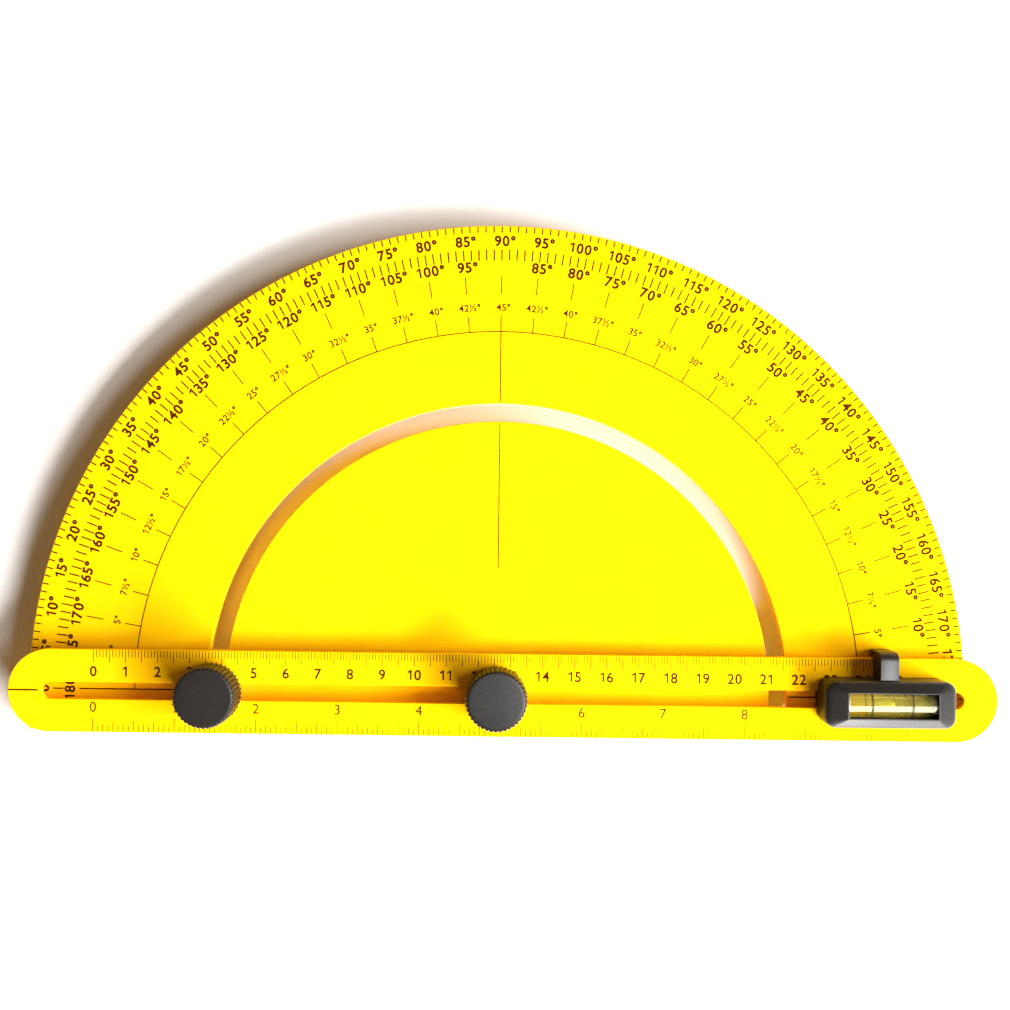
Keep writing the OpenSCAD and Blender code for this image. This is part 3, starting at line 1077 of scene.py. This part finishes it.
def build_liquid():
    """Liquid that fills the bore, with the bubble as a hollow in its upper side."""
    half = VIAL_L / 2 - PLUG_L
    profile = [(0.0, -half), (LIQUID_R, -half), (LIQUID_R, half), (0.0, half)]
    liquid = along_level(profile, "vial_liquid_body", FLUID)
    liquid.modifiers.clear()
    reach = BUBBLE_L / 2 - BUBBLE_R
    steps = 10
    profile = []
    for side in (-1, 1):
        for i in range(steps + 1):
            a = math.pi / 2 * (i / steps if side < 0 else 1 - i / steps)
            profile.append((BUBBLE_R * math.sin(a), side * (reach + BUBBLE_R * math.cos(a))))
    s = Shell()
    bubble_z = VIAL_Z + VIAL_BORE - BUBBLE_R - BUBBLE_DEPTH
    s.lathe(profile, 40, axis_x=True, centre=(LEVEL_X + BUBBLE_X, 0.0, bubble_z))
    bubble = s.finish("bubble", FLUID, weighted=False)
    return combine(liquid, bubble, "DIFFERENCE")


def build_rings():
    """The two marks printed round the tube."""
    s = Shell()
    half = RING_W / 2
    profile = [(RING_INNER, -half), (RING_OUTER, -half), (RING_OUTER, half), (RING_INNER, half)]
    for side in (-1, 1):
        s.lathe(profile, axis_x=True, centre=(LEVEL_X + side * RING_GAP / 2, 0.0, VIAL_Z))
    return s.finish("vial_ring_marks", RING_INK, 45.0)


def build_plug(name, side):
    """An end plug with its edges broken, on the -X or the +X side."""
    outer = side * VIAL_L / 2
    inner = side * (VIAL_L / 2 - PLUG_L)
    c = PLUG_EDGE * side
    face_r = PLUG_R - PLUG_EDGE
    profile = [(0.0, inner), (face_r, inner), (PLUG_R, inner + c),
               (PLUG_R, outer - c), (face_r, outer), (0.0, outer)]
    return along_level(profile, name, PLUG)


# ---------------- assembly

set_piece(build_plate(), "plate", "yellow_plastic", "protractor_plate")
set_piece(build_ribs(), "plate", "yellow_plastic")
set_piece(build_plate_print(), "plate", "ring_ink")
set_piece(build_pivot_bolt(), "plate", "zinc_steel", "pivot_bolt")
set_piece(build_arc_bolt(), "swing", "zinc_steel", "arc_bolt")
set_piece(build_washer("arc_slip_ring", "arc_slip_washer", NYLON), "swing", "nylon", "arc_slip_washer")
set_piece(build_rule(), "rule", "yellow_plastic", "rule_arm")
set_piece(build_rule_print(), "rule", "ring_ink")
for knob, knob_x in (("pivot", 0.0), ("arc", -ARC_R)):
    washer = build_washer(f"{knob}_knob_washer", f"{knob}_washer", NYLON)
    set_piece(washer, f"{knob}_clamp", "nylon", f"{knob}_washer")
    set_piece(build_knob(f"{knob}_knob_grip", knob_x), f"{knob}_grip", "black_plastic", f"{knob}_knob")
    set_piece(build_insert(f"{knob}_insert", knob_x), f"{knob}_grip", "brass", f"{knob}_knob_insert")
level_block = set_piece(build_level(), "level", "black_plastic", "level_housing")
tube = set_piece(build_vial_tube(), "level", "clear_acrylic", "vial_tube")
liquid = set_piece(build_liquid(), "level", "vial_fluid", "vial_liquid")
set_piece(build_rings(), "level", "ring_ink", "vial_rings")
set_piece(build_plug("vial_plug_a", -1), "level", "plug_plastic", "vial_plug_left")
set_piece(build_plug("vial_plug_b", 1), "level", "plug_plastic", "vial_plug_right")
for clear_piece in (tube, liquid):
    clear_piece.visible_shadow = False

# The level's feet and screws keep their CAD shapes
kept_nodes = (("level_foot_left", BLACK), ("level_foot_right", BLACK), ("level_screws", STEEL))
for node_name, finish in kept_nodes:
    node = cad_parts[node_name]
    node.data.materials.clear()
    node.data.materials.append(finish)


# ---------------- floor, light and camera

FLOOR_NAME = "Floor"
FLOOR_SIZE = 6.0
# Distances from the middle, in metres, over which the floor fades into the backdrop
FADE_START = 0.32
FADE_END = 0.75

# Camera: its place in millimetres, its height above the rule's face, its roll and its focal length
VIEW_X = 1.9
VIEW_Y = 59.4
VIEW_HEIGHT = 300.0
VIEW_ROLL = math.radians(0.7)
LENS = 34.3
CLIP_START = 0.01

# Each light: azimuth and elevation in degrees, distance and size in metres, power in watts
KEY = (-40.0, 21.0, 0.85, (0.95, 0.36), 54.0)
FILL = (5.0, 28.0, 0.85, (0.50, 0.44), 10.5)
UNDER = (0.0, -89.0, 1.2, (0.25, 0.25), 4.5)
LOW_SHINE = (-78.0, 15.0, 0.85, (0.40, 0.34), 14.0)
HIGH_SHINE = (-24.0, 67.0, 1.0, (0.20, 0.20), 16.0)
VIAL_SHINE = (-61.0, 42.0, 0.5, (0.50, 0.50), 8.0)
# What the key, the fill and the light from below are turned towards
PART_MIDDLE = Vector((0.02, 0.04, 0.0))

# The world's colour as a source of light, and as the backdrop that the camera sees
SKY = (0.20, 0.12, 0.05)
BACKDROP = (0.9, 0.9, 0.9)


def build_floor():
    """Plain matt surface, white with a very faint unevenness.

    It fades into the backdrop far from the part, and is open to a view and to light from below."""
    bm = bmesh.new()
    bmesh.ops.create_grid(bm, x_segments=1, y_segments=1, size=FLOOR_SIZE / 2)
    mesh = bpy.data.meshes.new("floor")
    bm.to_mesh(mesh)
    bm.free()
    floor = add_object("floor", mesh)
    n = Nodes(FLOOR_NAME)
    colour = n.blend(n.noise(3.0), (0.86, 0.86, 0.855), (0.89, 0.89, 0.885))
    n.link(colour, n.shader.inputs["Base Color"])
    n.set(Roughness=0.8)
    distance = n.tree.nodes.new("ShaderNodeVectorMath")
    distance.operation = "LENGTH"
    n.link(n.coordinates, distance.inputs[0])
    fade = n.spread(distance.outputs["Value"], FADE_START, FADE_END)
    from_below = n.tree.nodes.new("ShaderNodeNewGeometry").outputs["Backfacing"]
    mix = n.tree.nodes.new("ShaderNodeMixShader")
    n.link(n.join("MAXIMUM", fade, from_below), mix.inputs["Fac"])
    n.link(n.shader.outputs["BSDF"], mix.inputs[1])
    n.link(n.tree.nodes.new("ShaderNodeBsdfTransparent").outputs["BSDF"], mix.inputs[2])
    n.link(mix.outputs["Shader"], n.tree.nodes["Material Output"].inputs["Surface"])
    mesh.materials.append(n.material)
    floor.visible_shadow = False


def area_light(name, target, azimuth, elevation, distance, size, power):
    """A soft rectangular light in a given direction from a point, turned towards it."""
    across = math.radians(azimuth)
    up = math.radians(elevation)
    level = math.cos(up)
    direction = Vector((math.cos(across) * level, math.sin(across) * level, math.sin(up)))
    data = bpy.data.lights.new(name, "AREA")
    data.shape = "RECTANGLE"
    data.size, data.size_y = size
    data.energy = power
    light = add_object(name, data)
    light.location = target + direction * distance
    light.rotation_euler = (-direction).to_track_quat("-Z", "Y").to_euler()
    return light


def limit_light(light, pieces, state):
    """Lights only these pieces ("INCLUDE") or all but these ("EXCLUDE")."""
    receivers = bpy.data.collections.new(f"{light.name}_pieces")
    for piece in pieces:
        receivers.objects.link(piece)
    for entry in receivers.collection_objects:
        entry.light_linking.link_state = state
    light.light_linking.receiver_collection = receivers


def finished_in(names):
    """Every mesh that wears one of these materials."""
    meshes = [obj for obj in bpy.data.objects if obj.type == "MESH"]
    return [obj for obj in meshes if names & set(obj.data.materials.keys())]


def build_lights(level_block):
    """A wide low key light, a weak fill along the rule, a light from below, and three that only put
    a sheen on the level, on the dark and metal pieces, and on the vial.

    None but the light from below leaves a mirror image on the yellow pieces, the print or the
    floor, where it would hide the print in low views from behind."""
    for name, place in (("key", KEY), ("fill", FILL)):
        area_light(name, PART_MIDDLE, *place).visible_glossy = False
    area_light("under", PART_MIDDLE, *UNDER)
    level_top = Vector((LEVEL_X, 0.0, LEVEL_TOP)) * MM
    satin = finished_in({YELLOW.name, INK.name, FLOOR_NAME})
    clear = finished_in({ACRYLIC.name, FLUID.name})
    for name, place, pieces, state in (
            ("low_shine", LOW_SHINE, [level_block], "INCLUDE"),
            ("high_shine", HIGH_SHINE, satin + clear, "EXCLUDE"),
            ("vial_shine", VIAL_SHINE, clear, "INCLUDE")):
        shine = area_light(name, level_top, *place)
        shine.visible_diffuse = False
        limit_light(shine, pieces, state)


def build_world():
    """A dim warm sky for light, seen by the camera as a plain pale backdrop."""
    world = bpy.data.worlds.new("Studio")
    world.use_nodes = True
    nodes = world.node_tree.nodes
    colour = nodes.new("ShaderNodeMix")
    colour.data_type = "RGBA"
    colour.inputs["A"].default_value = (*SKY, 1.0)
    colour.inputs["B"].default_value = (*BACKDROP, 1.0)
    camera_ray = nodes.new("ShaderNodeLightPath").outputs["Is Camera Ray"]
    world.node_tree.links.new(camera_ray, colour.inputs["Factor"])
    world.node_tree.links.new(colour.outputs["Result"], nodes["Background"].inputs["Color"])
    bpy.context.scene.world = world


def build_camera():
    """Looks straight down from above the middle of the plate."""
    data = bpy.data.cameras.new("camera")
    data.lens = LENS
    data.clip_start = CLIP_START
    camera = add_object("camera", data)
    camera.location = Vector((VIEW_X, VIEW_Y, RULE_TOP + VIEW_HEIGHT)) * MM
    camera.rotation_euler = (0.0, 0.0, VIEW_ROLL)
    bpy.context.scene.camera = camera


build_floor()
build_lights(level_block)
build_world()
build_camera()
bpy.context.scene.view_settings.view_transform = "Standard"
